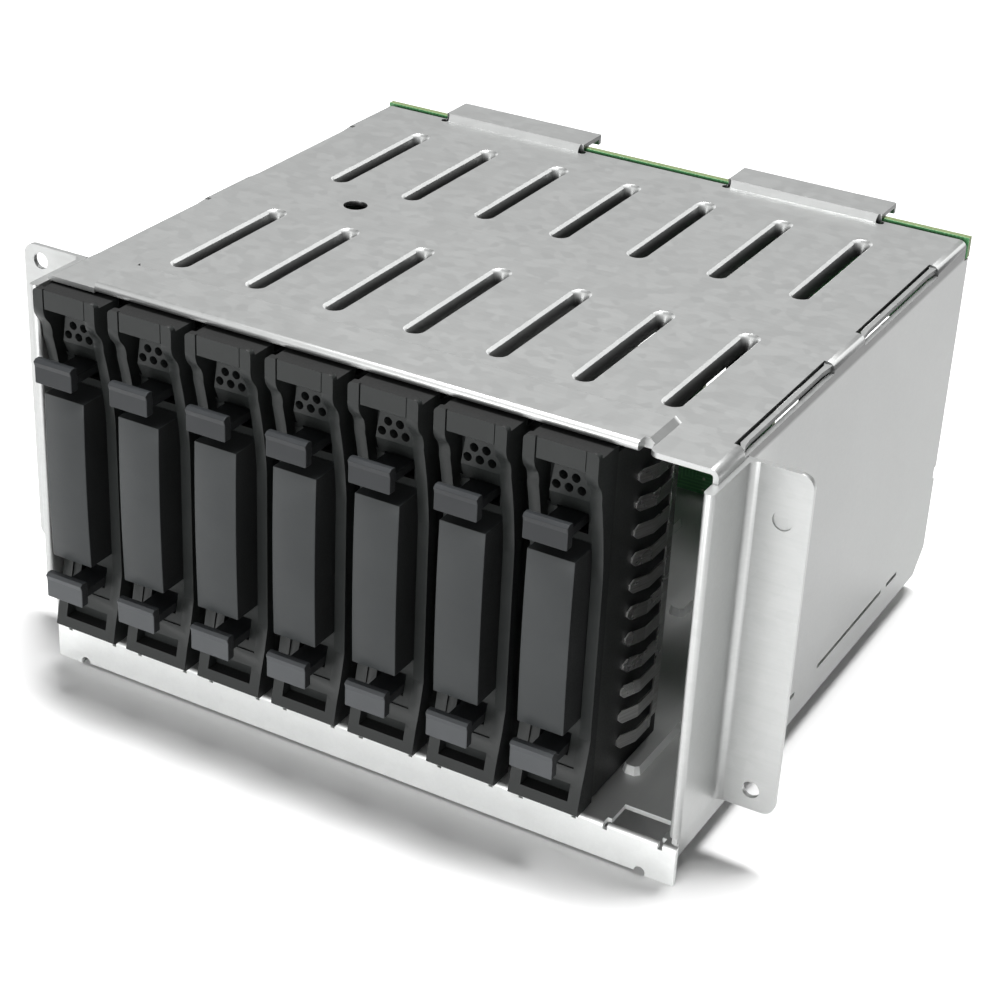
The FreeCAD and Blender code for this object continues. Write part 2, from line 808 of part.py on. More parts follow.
def make_drive_connector():
    """A drive's data and power receptacle, with its two guide posts."""
    body = new_body("drive_connector_form")
    front = board_front - S.connector_depth
    half_length = S.connector_length / 2
    half_thick = S.connector_width / 2
    low = S.connector_z - half_length
    high = S.connector_z + half_length
    pad(body, "base", "XZ", board_front - 3, board_front,
        rectangle(-half_thick, half_thick, low, high))
    pad(body, "shroud", "XZ", front, board_front - 3,
        rectangle(-half_thick, half_thick, low + 3.4, high - 3.4))
    pad(body, "posts", "XZ", front - 1.4, board_front - 3,
        rectangle(-1.2, 1.8, low, low + 2.4), rectangle(-1.2, 1.8, high - 2.4, high))
    pocket(body, "blade_slots", "XZ", front, front + 5.5,
           rectangle(-1.2, 1.2, low + 4.4, S.connector_z + 3),
           rectangle(-1.2, 1.2, S.connector_z + 4.4, high - 4.4))
    pocket(body, "key", "XZ", front, front + 5.5,
           rectangle(1.2, 2.2, low + 4.4, low + 5.6),
           rectangle(1.2, 2.2, high - 5.6, high - 4.4))
    return body


def make_port(name, side):
    """A shielded cable port on the back of the board."""
    body = new_body(name)
    middle = S.port_x * side
    half_length = S.port_length / 2
    half_thick = S.port_width / 2
    end = board_back + S.port_depth
    pad(body, "shield", "XZ", board_back, end, rectangle(
        middle - half_length, middle + half_length,
        S.port_z - half_thick, S.port_z + half_thick))
    pocket(body, "mouth", "XZ", board_back + 1.6, end, rectangle(
        middle - half_length + 1.2, middle + half_length - 1.2,
        S.port_z - half_thick + 1.2, S.port_z + half_thick - 2.6))
    pad(body, "tongue", "XZ", board_back + 1.2, end - 1.5, rectangle(
        middle - half_length + 3, middle + half_length - 3,
        S.port_z - 1.2, S.port_z - 0.2))
    pocket(body, "latch_holes", "XZ", end - 4, end, rectangle(
        middle - 4, middle + 4, S.port_z + half_thick - 2, S.port_z + half_thick - 1))
    return body


def make_power_header():
    """A ten-way power header: two rows of five sockets."""
    body = new_body("power_header")
    half_length = S.power_length / 2
    half_thick = S.power_width / 2
    end = board_back + S.power_depth
    pad(body, "housing", "XZ", board_back, end, rectangle(
        -half_length, half_length, S.power_z - half_thick, S.power_z + half_thick))
    pad(body, "latch_ridge", "XZ", board_back + 4, end - 1, rectangle(
        -3, 3, S.power_z + half_thick, S.power_z + half_thick + 1.4))
    cell = S.power_pitch - 0.9
    first = S.power_pitch * -2
    low = S.power_z - S.power_pitch / 2
    sockets = [
        rectangle(first - cell / 2, first + cell / 2, row - cell / 2, row + cell / 2)
        for row in (low, low + S.power_pitch)]
    pair = pocket(body, "socket_pair", "XZ", board_back + 2, end, *sockets)
    pattern(body, "sockets", [pair], "X", S.power_pitch, 5)
    return body


def make_screws():
    """Three pan-head screws that hold the board to the floor's lugs."""
    lug_step = S.bay_pitch * S.lug_bays
    z = S.floor_top + S.lug_height / 2
    screws = []
    for number, x in enumerate((-lug_step, size_of(0), lug_step), start=1):
        body = new_body("board_screw_form_%d" % number)
        end = board_back + S.screw_head_height
        pad(body, "thread_%d" % number, "XZ", board_back - S.screw_length, board_back,
            circles=[(x, z, S.screw_diameter)])
        pad(body, "head_%d" % number, "XZ", board_back, end, circles=[(x, z, S.screw_head)])
        pocket(body, "cross_%d" % number, "XZ", end - 1.1, end, [
            (x - 1.6, z - 0.35), (x - 0.35, z - 0.35), (x - 0.35, z - 1.6), (x + 0.35, z - 1.6),
            (x + 0.35, z - 0.35), (x + 1.6, z - 0.35), (x + 1.6, z + 0.35), (x + 0.35, z + 0.35),
            (x + 0.35, z + 1.6), (x - 0.35, z + 1.6), (x - 0.35, z + 0.35), (x - 1.6, z + 0.35)])
        screws.append(body)
    group = doc.addObject("Part::Compound", "board_screws")
    group.Label = "board_screws"
    group.Links = screws
    return group


# ---------------------------------------------------------------- drive blank

web_front = S.bezel_back - S.bezel_web
cavity_half = S.body_width / 2 - S.body_wall
stem_slot_half = S.stem_width / 2 + S.latch_clear
upper_latch_top = S.upper_latch_z + S.upper_latch_height
lower_latch_top = S.lower_latch_z + S.lower_latch_height
upper_stem = S.upper_latch_z + S.stem_rise
lower_stem = S.lower_latch_z + S.stem_rise


def make_bezel():
    """The blank's front: cap, vented ramp, channel for the grip, and foot."""
    body = new_body("bezel_form")
    half = S.bezel_width / 2
    channel = S.channel_width / 2
    cap_bottom = S.bezel_top - S.bezel_cap_height
    waist_top = S.ramp_bottom - 12
    waist_bottom = S.channel_bottom + 6
    pad(body, "face", "YZ", -half, half, [
        (0.2, S.bezel_bottom),
        (S.bezel_back, S.bezel_bottom),
        (S.bezel_back, S.bezel_step),
        (-S.bezel_cap + S.cap_thick, S.bezel_step),
        (-S.bezel_cap + S.cap_thick, S.bezel_top),
        (-S.bezel_cap, S.bezel_top),
        (-S.bezel_cap, cap_bottom, 4),
        (-S.bezel_cap + 1.1, cap_bottom - 2.9, -4.5),
        (-S.bezel_cap + 2.3, cap_bottom - 6.4, -90),
        (S.bezel_waist, waist_top),
        (S.bezel_waist, waist_bottom, -90),
        (0.8, S.recess_bottom + 2.6),
        (-0.3, S.bezel_bottom + 0.5)])
    ledge = -S.bezel_cap + S.cap_ledge
    pocket(body, "channel", "YZ", -channel, channel, [
        (-S.latch_front, cap_bottom),
        (ledge, cap_bottom),
        (S.vent_face, cap_bottom - 2.4),
        (S.vent_face, S.vent_z - 1.6),
        (web_front, S.ramp_bottom - 1),
        (web_front, S.channel_bottom + S.channel_ramp),
        (S.vent_face, S.channel_bottom),
        (-S.latch_front, S.channel_bottom)])
    pocket(body, "wedge", "XZ", -S.latch_front, web_front, [
        (-channel, S.ramp_bottom),
        (-channel + S.seam_width * 2, S.ramp_bottom),
        (-channel + S.wedge_width, cap_bottom - S.seam_width),
        (-channel, cap_bottom)])
    pocket(body, "seams", "XY", cap_bottom - 0.5, S.bezel_top,
           rectangle(-channel, -channel + S.seam_width, -S.bezel_cap - 1, -S.bezel_cap + 0.5),
           rectangle(channel - S.seam_width / 2, channel, -S.bezel_cap - 1, -S.bezel_cap + 0.2))
    pocket(body, "recess", "XZ", -S.bezel_cap, S.recess_depth, rectangle(
        -channel, channel, S.recess_bottom, S.recess_bottom + S.recess_height))
    pad(body, "window_tab", "XZ", S.blank_proud + S.sheet + S.tab_clear,
        S.bezel_back, rectangle(
        -S.window_width / 2 + S.tab_clear, S.window_width / 2 - S.tab_clear,
        floor_under + S.tab_clear, S.bezel_bottom + 0.6))
    row = S.vent_pitch * 0.866
    pocket(body, "vents", "XZ", -S.bezel_cap, S.bezel_back, circles=[
        (-S.vent_pitch, S.vent_z, S.vent_diameter),
        (0, S.vent_z, S.vent_diameter),
        (S.vent_pitch, S.vent_z, S.vent_diameter),
        (S.vent_pitch * -0.5, S.vent_z + row, S.vent_diameter),
        (S.vent_pitch * 0.5, S.vent_z + row, S.vent_diameter)])
    gap = S.latch_clear
    pocket(body, "stem_slots", "XZ", 0, S.bezel_back,
           rectangle(-stem_slot_half, stem_slot_half,
                     upper_stem - S.latch_travel - gap, upper_stem + S.stem_height + gap),
           rectangle(-stem_slot_half, stem_slot_half,
                     lower_stem - gap, lower_stem + S.stem_height + S.latch_travel + gap))
    round_edges(body, "cap_corners", S.bezel_corner, lambda edge, middle: (
        runs_along(edge, Y_AXIS) and near(abs(middle.x), half)
        and near(middle.z, S.bezel_top)))
    return body


def make_blank_body():
    """The blank's moulded box: the latches' room in front, a ribbed room behind."""
    body = new_body("blank_body_form")
    half = S.body_width / 2
    front = S.bezel_back
    back = front + S.body_depth
    web = front + S.body_front_room
    low = S.body_bottom + S.body_wall
    high = S.body_top - S.body_wall
    pad(body, "box", "XZ", front, back, rectangle(-half, half, S.body_bottom, S.body_top))
    pocket(body, "latch_room", "XZ", front, web, rectangle(
        -cavity_half, cavity_half, low, high))
    pocket(body, "rear_room", "XZ", web + S.body_wall, back, rectangle(
        -cavity_half, cavity_half, low, high))
    rib = pad(body, "rib", "XZ", web, back, rectangle(
        cavity_half - S.rib_depth, cavity_half,
        low + S.rib_step - S.rib_thick, low + S.rib_step))
    left_rib = pad(body, "left_rib", "XZ", web, back, rectangle(
        -cavity_half, -cavity_half + S.rib_depth,
        low + S.rib_step - S.rib_thick, low + S.rib_step))
    pattern(body, "ribs", [rib, left_rib], "Z", S.rib_step, S.rib_count)
    pocket(body, "nose_slots", "XY", S.body_bottom, S.body_top, rectangle(
        -stem_slot_half, stem_slot_half, front, web - S.latch_clear))
    return body


def make_grip_panel():
    """The slightly bowed bar between the latches, hollow behind."""
    body = new_body("grip_panel_form")
    half = S.panel_width / 2
    rise = S.panel_top - S.panel_bottom
    bow = rise * rise / (S.panel_bulge * 8) + S.panel_bulge / 2
    pad(body, "bar", "YZ", -half, half, [
        (web_front, S.panel_bottom),
        (web_front, S.panel_top),
        (-S.panel_front, S.panel_top, bow),
        (-S.panel_front, S.panel_bottom)])
    pocket(body, "hollow", "XZ", -S.panel_front + S.panel_thick, web_front, rectangle(
        -half + S.body_wall, half - S.body_wall,
        S.panel_bottom + S.body_wall, S.panel_top - S.body_wall))
    return body


def latch_plate(body, bottom, height):
    """The finger plate of a latch, with a proud lip along its top edge."""
    half = S.latch_width / 2
    back = S.latch_plate - S.latch_front
    pad(body, "plate", "YZ", -half, half, [
        (-S.latch_front, bottom),
        (back, bottom),
        (back, bottom + height - 0.3),
        (back - 0.6, bottom + height),
        (-S.latch_front + 0.4, bottom + height),
        (-S.latch_front - S.latch_proud, bottom + height - 0.5),
        (-S.latch_front, bottom + height - S.latch_lip)])


def make_upper_latch():
    """The upper latch: plate, stem and a tail up to the roof's folded edge."""
    body = new_body("upper_latch_form")
    latch_plate(body, S.upper_latch_z, S.upper_latch_height)
    half = S.stem_width / 2
    catch = S.blank_proud + S.hem_setback + S.hem_fold + S.latch_clear
    back = S.latch_plate - S.latch_front
    stem = upper_stem
    pad(body, "stem", "YZ", -half, half, [
        (back - 0.5, stem),
        (catch + S.tail_thick, stem),
        (catch + S.tail_thick, roof_under - S.nose_clear - 1),
        (catch + S.tail_thick - 1, roof_under - S.nose_clear),
        (catch, roof_under - S.nose_clear),
        (catch, stem + S.stem_height),
        (back - 0.5, stem + S.stem_height)])
    return body


def make_lower_latch():
    """The lower latch: plate, stem and a tail down to the floor's window."""
    body = new_body("lower_latch_form")
    latch_plate(body, S.lower_latch_z, S.lower_latch_height)
    half = S.stem_width / 2
    front = S.bezel_back + S.latch_clear
    back = S.latch_plate - S.latch_front
    stem = lower_stem
    tip = S.floor_top + S.nose_clear
    pad(body, "stem", "YZ", -half, half, [
        (back - 0.5, stem),
        (front, stem),
        (front, tip),
        (front + S.tail_thick - 1, tip),
        (front + S.tail_thick, tip + 1),
        (front + S.tail_thick, stem + S.stem_height),
        (back - 0.5, stem + S.stem_height)])
    return body


def make_finger_spring():
    """A strip of bowed contact fingers on the blank's right side."""
    body = new_body("finger_spring_form")
    base = S.body_width / 2
    thick = S.finger_thick
    back = S.bezel_back + S.body_depth - 0.4
    band = back - S.finger_band
    tip = band - S.finger_length
    last = S.finger_first + S.finger_pitch * (S.finger_count - 1) + S.finger_height
    pad(body, "band", "YZ", base, base + thick, rectangle(
        band - 0.4, back, S.finger_first - 0.8, last + 0.8))
    crest = base + S.finger_bow
    rise = S.finger_length * 0.3
    finger = pad(body, "finger", "XY", S.finger_first, S.finger_first + S.finger_height, [
        (base, tip),
        (base + thick, tip),
        (crest + thick, tip + rise),
        (crest + thick, band - rise),
        (base + thick, band),
        (base, band),
        (crest, band - rise),
        (crest, tip + rise)])
    cut = S.finger_tip
    top = S.finger_first + S.finger_height
    corners = pocket(body, "tip_corners", "YZ", base, crest + thick,
                     [(tip, S.finger_first), (tip + cut, S.finger_first),
                      (tip, S.finger_first + cut)],
                     [(tip, top - cut), (tip + cut, top), (tip, top)])
    pattern(body, "fingers", [finger, corners], "Z", S.finger_pitch, S.finger_count)
    return body


# ---------------------------------------------------------------- the assembly

def place(thing, x, y=0):
    """Put a piece in the row frame, whose origin is under the cage's middle."""
    bind(thing, "Placement.Base.x", size_of(x) - origin_x)
    bind(thing, "Placement.Base.y", size_of(y) - origin_y)


def copy_of(form, name, x, y=0):
    copy = doc.addObject("App::Link", name)
    copy.LinkedObject = form
    copy.Label = name
    place(copy, x, y)
    return copy


def build():
    nodes = {}
    for piece in (make_cage_shell(), make_floor_tray(), make_board(),
                  make_port("left_data_port", -1), make_port("right_data_port", 1),
                  make_power_header(), make_screws()):
        place(piece, 0)
        nodes[piece.Label] = piece
    connector = make_drive_connector()
    for number in range(1, SIZES["bay_count"] + 1):
        name = "drive_connector_%d" % number
        nodes[name] = copy_of(connector, name, bay_x(number))
    forms = {
        "bezel": make_bezel(),
        "body": make_blank_body(),
        "grip_panel": make_grip_panel(),
        "upper_latch": make_upper_latch(),
        "lower_latch": make_lower_latch(),
        "finger_spring": make_finger_spring(),
    }
    for number in range(1, SIZES["blank_count"] + 1):
        for part, form in forms.items():
            name = "blank_%d_%s" % (number, part)
            nodes[name] = copy_of(form, name, bay_x(number), -S.blank_proud)
    return nodes


def check_document():
    for thing in doc.Objects:
        if "Invalid" in thing.State or "Error" in thing.State:
            raise ValueError("%s: %s" % (thing.Label, thing.State))


nodes = build()
doc.recompute()
check_document()
os.makedirs("parts", exist_ok=True)
for name, piece in nodes.items():
    shape = Part.getShape(piece)
    if not shape.isValid():
        raise ValueError("%s has an invalid shape" % name)
    shape.exportStep("parts/%s.step" % name)
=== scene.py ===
"""Looks of the hot swap drive cage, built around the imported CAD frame."""

import json
import math

import bpy
from mathutils import Matrix, Vector


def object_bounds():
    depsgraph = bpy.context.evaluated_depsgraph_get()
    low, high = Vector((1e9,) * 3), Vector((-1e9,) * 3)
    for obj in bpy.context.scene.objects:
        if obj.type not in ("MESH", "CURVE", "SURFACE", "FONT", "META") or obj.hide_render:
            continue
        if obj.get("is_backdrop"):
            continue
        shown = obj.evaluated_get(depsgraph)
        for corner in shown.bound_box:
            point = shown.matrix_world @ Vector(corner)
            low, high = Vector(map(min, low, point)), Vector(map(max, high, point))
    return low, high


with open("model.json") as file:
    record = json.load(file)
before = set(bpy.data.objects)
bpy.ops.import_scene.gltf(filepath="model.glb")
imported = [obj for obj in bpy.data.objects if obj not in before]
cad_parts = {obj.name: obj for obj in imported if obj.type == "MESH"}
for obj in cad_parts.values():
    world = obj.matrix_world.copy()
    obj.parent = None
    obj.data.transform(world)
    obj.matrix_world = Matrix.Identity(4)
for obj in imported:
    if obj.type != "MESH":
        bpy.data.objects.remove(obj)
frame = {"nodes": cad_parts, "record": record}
CAD_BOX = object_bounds()
MM = 0.001

# ---------------------------------------------------------------- camera and studio

CAMERA_PLACE = Vector((195.2, -368.4, 256.5)) * MM
CAMERA_AZIMUTH = math.radians(28.19)
CAMERA_ELEVATION = math.radians(28.69)
CAMERA_ROLL = math.radians(2.93)
CAMERA_LENS = 81.85
SENSOR_WIDTH = 36
NEAREST = 0.01

ROOM_FRONT = 1.3                # what shiny faces mirror from the front of the room
ROOM_BACK = 0.36                # and from its back
ROOM_TURN = 0.35                # how far a ray leans along Y when it meets either in full
WORLD_FILL = 0.165
FLOOR_HALF = 3.0
FLOOR_GREY = (0.86, 0.86, 0.86, 1)
FLOOR_FADE = (0.45, 0.95)       # from the cage's middle: floor as lit, then plain white
LAMP_AIM = (0, 0, 0.04)
LAMPS = {
    "key": {"place": (0.03, 0.35, 2.5), "size": (1.4, 0.5), "power": 125.0},
    "front_panel": {"place": (-0.05, -1.2, 0.25), "size": (0.8, 0.4), "power": 7.8},
}

# ---------------------------------------------------------------- numbers of the looks

WHITE = (1, 1, 1, 1)
USUAL = (0.3, 0.7)              # most values of a noise texture lie between these
FULLY = (0.75, 0.95)            # how far a face looks along an axis to count as facing it

# zinc-coated sheet
COOL = (0.985, 1.0, 0.99)
SPANGLE_SCALE = 420.0
SPANGLE_TONE = 0.01
SPANGLE_ROUGHNESS = 0.012
ROLLED_TONE = 0.014
CLOUD_TONE = 0.006
ZINC_ROUGHNESS = (0.39, 0.41)
ROLLED_HEIGHT = 0.6
SPANGLE_HEIGHT = 0.4
SMUDGED = (0.3, 0.75)
LEANING = (0.3, 0.9)            # how far a face leans to take a side's or a flat's painted shade
SIDE_SHADE_FRONT = (-0.055, -0.035)   # along Y: where the sides' painted shade sets in
SIDE_SHADE_FRONT_SHARE = 0.45         # how much of that painted shade is there before that
UPRIGHT = (0.2, 0.5)
SLOPED = (0.45, 0.6, 0.8, 0.95)  # a rim's lean along Z: starts, is full, ends
ALONG_SLOT = (0.3, 0.6)         # lean along X: rims at a slot's ends, then along its sides
SLOT_REACH = (0.076, 0.077)     # distance from the middle, along X, where the slots' painted shade and highlight end
# painted shade: the tone left on the slots' upright walls
SLOT_WALL_PAINTED_SHADE = 0.3
RIM_PAINTED_SHADE_AND_HIGHLIGHT = (-0.4, 0.9)         # painted shade at a slot's ends, and a painted highlight along its sides
# metallic along the slots' sides, lowered together with the painted highlight there
RIM_HIGHLIGHT_METAL = 0.3

# moulded plastic
DARKER = 0.93
PALER = 1.06
DUST = 0.008
DUST_IN_PALER = 0.2
DUSTY = (0.5, 0.8)
DUST_SHARE = 0.5
# painted shade: the near black that faces looking up or to +X are darkened towards
PAINTED_SHADE_BLACK = (0.002, 0.002, 0.002, 1)
HIDDEN_ROUGHNESS = 0.25         # added where painted shade darkens the colour
FINE_ROUGHNESS = 0.05
SMOOTHER = 0.05
ROUGHER = 0.06

# spring strip and plated metal
METALLIC = 0.95
DRAWN_GRAIN = (300, 60, 4000)
STRIP_DARK = (0.42, 0.4158, 0.399, 1)
STRIP_PALE = (0.6, 0.6, 0.6, 1)
POLISH = (0.2, 0.36)
PLATING = (0.22, 0.36)
PLATED_DARKER = 0.88

# circuit board
RUN_SCALE = 360.0
RUN_EDGE = (0.55, 0.7)
ZONE_SCALE = 95.0
ZONE_EDGE = (0.45, 0.5)
VIA_SCALE = 330.0
VIA_EDGE = (0.1, 0.13)
VIA_CHOICE = (0.52, 0.54)
MASK_DARK = (0.085, 0.29, 0.11, 1)
MASK_PALE = (0.12, 0.38, 0.15, 1)
VIA_TIN = (0.5, 0.52, 0.42, 1)
WEAVE_GRAIN = (900, 5200, 900)
WEAVE = (0.35, 0.65)
CORE_DARK = (0.1, 0.14, 0.055, 1)
CORE_PALE = (0.15, 0.19, 0.085, 1)
BOARD_FACE = (0.4, 0.6)
CORE_ROUGHNESS = 0.62
MASK_ROUGHNESS = 0.32

# rounded edges
EDGE_THIN = 0.05 * MM
EDGE_BLANK = 0.22 * MM
EDGE_SHEET = 0.16 * MM
EDGE_OTHER = 0.12 * MM
EDGE_ANGLE = math.radians(35)
WELD_REACH = 0.01 * MM


def make_camera():
    """The photograph's view: place, angles and roll come from the camera fit."""
    data = bpy.data.cameras.new("camera")
    camera = bpy.data.objects.new("camera", data)
    bpy.context.scene.collection.objects.link(camera)
    back = Vector((
        math.sin(CAMERA_AZIMUTH) * math.cos(CAMERA_ELEVATION),
        -math.cos(CAMERA_AZIMUTH) * math.cos(CAMERA_ELEVATION),
        math.sin(CAMERA_ELEVATION)))
    right = (-back).cross(Vector((0, 0, 1))).normalized()
    up = right.cross(-back)
    axes = Matrix((right, up, back)).transposed().to_4x4()
    roll = Matrix.Rotation(CAMERA_ROLL, 4, "Z")
    camera.matrix_world = Matrix.Translation(CAMERA_PLACE) @ axes @ roll
    data.sensor_width = SENSOR_WIDTH
    data.lens = CAMERA_LENS
    data.clip_start = NEAREST
    bpy.context.scene.camera = camera


# ---------------------------------------------------------------- node helpers

class Shader:
    """A material under construction: makes nodes and joins them."""

    def __init__(self, name):
        self.material = bpy.data.materials.new(name)
        self.material.use_nodes = True
        self.nodes = self.material.node_tree.nodes
        self.links = self.material.node_tree.links
        self.nodes.clear()
        self.output = self.nodes.new("ShaderNodeOutputMaterial")
        self.surface = self.nodes.new("ShaderNodeBsdfPrincipled")
        self.links.new(self.surface.outputs[0], self.output.inputs["Surface"])
        self.place = self.nodes.new("ShaderNodeTexCoord").outputs["Object"]

    def put(self, socket, value):
        if isinstance(value, bpy.types.NodeSocket):
            self.links.new(value, socket)
        else:
            socket.default_value = value

    def node(self, kind, settings=None, **inputs):
        made = self.nodes.new(kind)
        for name, value in (settings or {}).items():
            setattr(made, name, value)
        for name, value in inputs.items():
            self.put(made.inputs[name.replace("_", " ")], value)
        return made

    def math(self, operation, *values):
        made = self.nodes.new("ShaderNodeMath")
        made.operation = operation
        for index, value in enumerate(values):
            self.put(made.inputs[index], value)
        return made.outputs[0]

    def times(self, *values):
        total = values[0]
        for value in values[1:]:
            total = self.math("MULTIPLY", total, value)
        return total

    def scaled(self, x, y, z):
        """The object's own coordinates, stretched differently along each axis."""
        made = self.node("ShaderNodeMapping", Vector=self.place)
        made.inputs["Scale"].default_value = (x, y, z)
        return made.outputs[0]

    def noise(self, vector, scale, detail=3.0, roughness=0.55):
        made = self.node("ShaderNodeTexNoise", Vector=vector, Scale=scale,
                         Detail=detail, Roughness=roughness)
        return made.outputs["Fac"]

    def cells(self, vector, scale, randomness=1.0):
        return self.node("ShaderNodeTexVoronoi", Vector=vector, Scale=scale,
                         Randomness=randomness)

    def bands(self, direction, scale):
        made = self.node("ShaderNodeTexWave",
                         {"wave_type": "BANDS", "bands_direction": direction},
                         Vector=self.place, Scale=scale, Distortion=0.0)
        return made.outputs["Fac"]

    def span(self, value, low, high, to_low, to_high):
        made = self.node("ShaderNodeMapRange", Value=value)
        made.inputs["From Min"].default_value = low
        made.inputs["From Max"].default_value = high
        made.inputs["To Min"].default_value = to_low
        made.inputs["To Max"].default_value = to_high
        return made.outputs[0]

    def rise(self, value, low, high):
        """0 up to low, 1 from high on."""
        return self.span(value, low, high, 0, 1)

    def fall(self, value, low, high):
        """1 up to low, 0 from high on."""
        return self.span(value, low, high, 1, 0)

    def vary(self, noise, low, high):
        """A noise texture's usual values stretched to run from low to high."""
        return self.span(noise, *USUAL, low, high)

    def blend(self, factor, first, second):
        made = self.node("ShaderNodeMix", {"data_type": "RGBA"})
        self.put(made.inputs[0], factor)
        self.put(made.inputs[6], first)
        self.put(made.inputs[7], second)
        return made.outputs[2]

    def axis_part(self, vector, axis):
        made = self.node("ShaderNodeSeparateXYZ", Vector=vector)
        return made.outputs[axis]

    def facing(self, axis):
        """How far a face looks along an axis of the object: -1 to 1."""
        normal = self.nodes.new("ShaderNodeTexCoord").outputs["Normal"]
        return self.axis_part(normal, axis)

    def lean(self, axis):
        """How far a face looks along an axis, either way: 0 to 1."""
        return self.math("ABSOLUTE", self.facing(axis))

    def beyond(self, axis, limit, fade=0.4 * MM):
        """1 where the object's own coordinate is past a limit, else 0."""
        return self.rise(self.axis_part(self.place, axis), limit - fade, limit + fade)

    def bump(self, height, strength, distance):
        made = self.node("ShaderNodeBump", Height=height, Strength=strength, Distance=distance)
        self.links.new(made.outputs[0], self.surface.inputs["Normal"])

    def finish(self, **inputs):
        for name, value in inputs.items():
            self.put(self.surface.inputs[name.replace("_", " ")], value)
        return self.material


def grey(level, tint=(1, 1, 1)):
    return (level * tint[0], level * tint[1], level * tint[2], 1)


# ---------------------------------------------------------------- materials

def slot_painted_light(s, value, metal, behind, above):
    """Painted shade on the slots' upright walls and at their ends, and a painted highlight
    along their sides.
    """
    within = s.fall(s.math("ABSOLUTE", s.axis_part(s.place, 0)), *SLOT_REACH)
    within = s.times(within, s.times(s.beyond(1, behind), s.beyond(2, above)))
    upright = s.fall(s.lean(2), *UPRIGHT)
    # Painted shade: the slots' upright walls are darkened.
    value = s.times(value, s.span(s.times(upright, within), 0, 1, 1, SLOT_WALL_PAINTED_SHADE))
    sloped = s.times(s.rise(s.lean(2), *SLOPED[:2]), s.fall(s.lean(2), *SLOPED[2:]))
    rim = s.times(sloped, within)
    # Painted shade at the slots' ends, painted highlight along their sides.
    rim_shade_and_highlight = s.times(rim, s.span(s.lean(0), *ALONG_SLOT, *RIM_PAINTED_SHADE_AND_HIGHLIGHT))
    value = s.times(value, s.math("ADD", 1.0, rim_shade_and_highlight))
    # Less metallic where the painted highlight lies.
    lit = s.times(rim, s.rise(s.lean(0), *ALONG_SLOT))
    return value, s.span(lit, 0, 1, metal, RIM_HIGHLIGHT_METAL)


def zinc_sheet(name, level, grain, metal=0.85, side_shade=1.0, flat_shade=1.0, slots=None):
    """Zinc-coated steel with a faint spangle, rolling marks and uneven gloss.

    grain stretches the rolling marks. The side and flat shades multiply the tone of faces that
    look along X and Z: painted shade.
    slots says behind which Y and above which Z the pressed slots lie; there the sheet takes
    painted shade and a painted highlight.
    """
    s = Shader(name)
    spangle = s.cells(s.scaled(1, 1, 1), SPANGLE_SCALE)
    tone = s.axis_part(spangle.outputs["Color"], 0)
    rolled = s.noise(s.scaled(*grain), scale=1.0, detail=5.0, roughness=0.65)
    cloud = s.noise(s.place, scale=26.0, detail=4.0)
    smudge = s.noise(s.place, scale=75.0, detail=6.0, roughness=0.7)
    shade = s.math("ADD", s.span(tone, 0, 1, -SPANGLE_TONE, SPANGLE_TONE),
                   s.vary(rolled, -ROLLED_TONE, ROLLED_TONE))
    shade = s.math("ADD", shade, s.vary(cloud, -CLOUD_TONE, CLOUD_TONE))
    value = s.math("ADD", shade, level)
    # Painted shade: faces that look along X, more so behind the front, and faces that look
    # along Z are darkened.
    painted_side_shade = s.times(s.rise(s.lean(0), *LEANING),
                     s.span(s.axis_part(s.place, 1), *SIDE_SHADE_FRONT, SIDE_SHADE_FRONT_SHARE, 1))
    value = s.times(value, s.span(painted_side_shade, 0, 1, 1, side_shade))
    value = s.times(value, s.span(s.lean(2), *LEANING, 1, flat_shade))
    if slots:
        value, metal = slot_painted_light(s, value, metal, *slots)
    mixed = s.node("ShaderNodeCombineColor")
    s.put(mixed.inputs[0], s.times(value, COOL[0]))
    s.put(mixed.inputs[1], value)
    s.put(mixed.inputs[2], s.times(value, COOL[2]))
    rough = s.math("ADD", s.span(smudge, *SMUDGED, *ZINC_ROUGHNESS),
                   s.span(tone, 0, 1, -SPANGLE_ROUGHNESS, SPANGLE_ROUGHNESS))
    height = s.math("ADD", s.times(rolled, ROLLED_HEIGHT), s.times(tone, SPANGLE_HEIGHT))
    s.bump(height, strength=0.035, distance=0.04 * MM)
    return s.finish(Base_Color=mixed.outputs[0], Metallic=metal, Roughness=rough)


def moulded(name, colour, roughness, spark, gloss=0.5, top_shade=1.0, side_shade=1.0):
    """Moulded plastic with a spark-eroded texture and a little pale dust.

    The top and side shades say how much of the colour is left on faces that look up and to +X;
    the rest is painted shade, near black.
    """
    s = Shader(name)
    fine = s.noise(s.place, scale=spark, detail=2.0, roughness=0.6)
    coarse = s.noise(s.place, scale=60.0, detail=5.0, roughness=0.6)
    darker = grey(DARKER, colour)
    paler = tuple(c * PALER + DUST * DUST_IN_PALER for c in colour) + (1,)
    dusted = tuple(c + DUST for c in colour) + (1,)
    base = s.blend(s.vary(coarse, 0, 1), darker, paler)
    base = s.blend(s.times(s.rise(coarse, *DUSTY), DUST_SHARE), base, dusted)
    # Painted shade: faces that look up or to +X are darkened towards near black.
    seen = s.times(s.span(s.facing(2), *FULLY, 1, top_shade), s.span(s.facing(0), *FULLY, 1, side_shade))
    base = s.blend(seen, PAINTED_SHADE_BLACK, base)
    rough = s.math("ADD", s.vary(fine, -FINE_ROUGHNESS, FINE_ROUGHNESS),
                   s.vary(coarse, roughness - SMOOTHER, roughness + ROUGHER))
    rough = s.math("ADD", rough, s.span(seen, 0, 1, HIDDEN_ROUGHNESS, 0))
    s.bump(fine, strength=0.22, distance=0.05 * MM)
    return s.finish(Base_Color=base, Roughness=rough, Specular_IOR_Level=gloss)


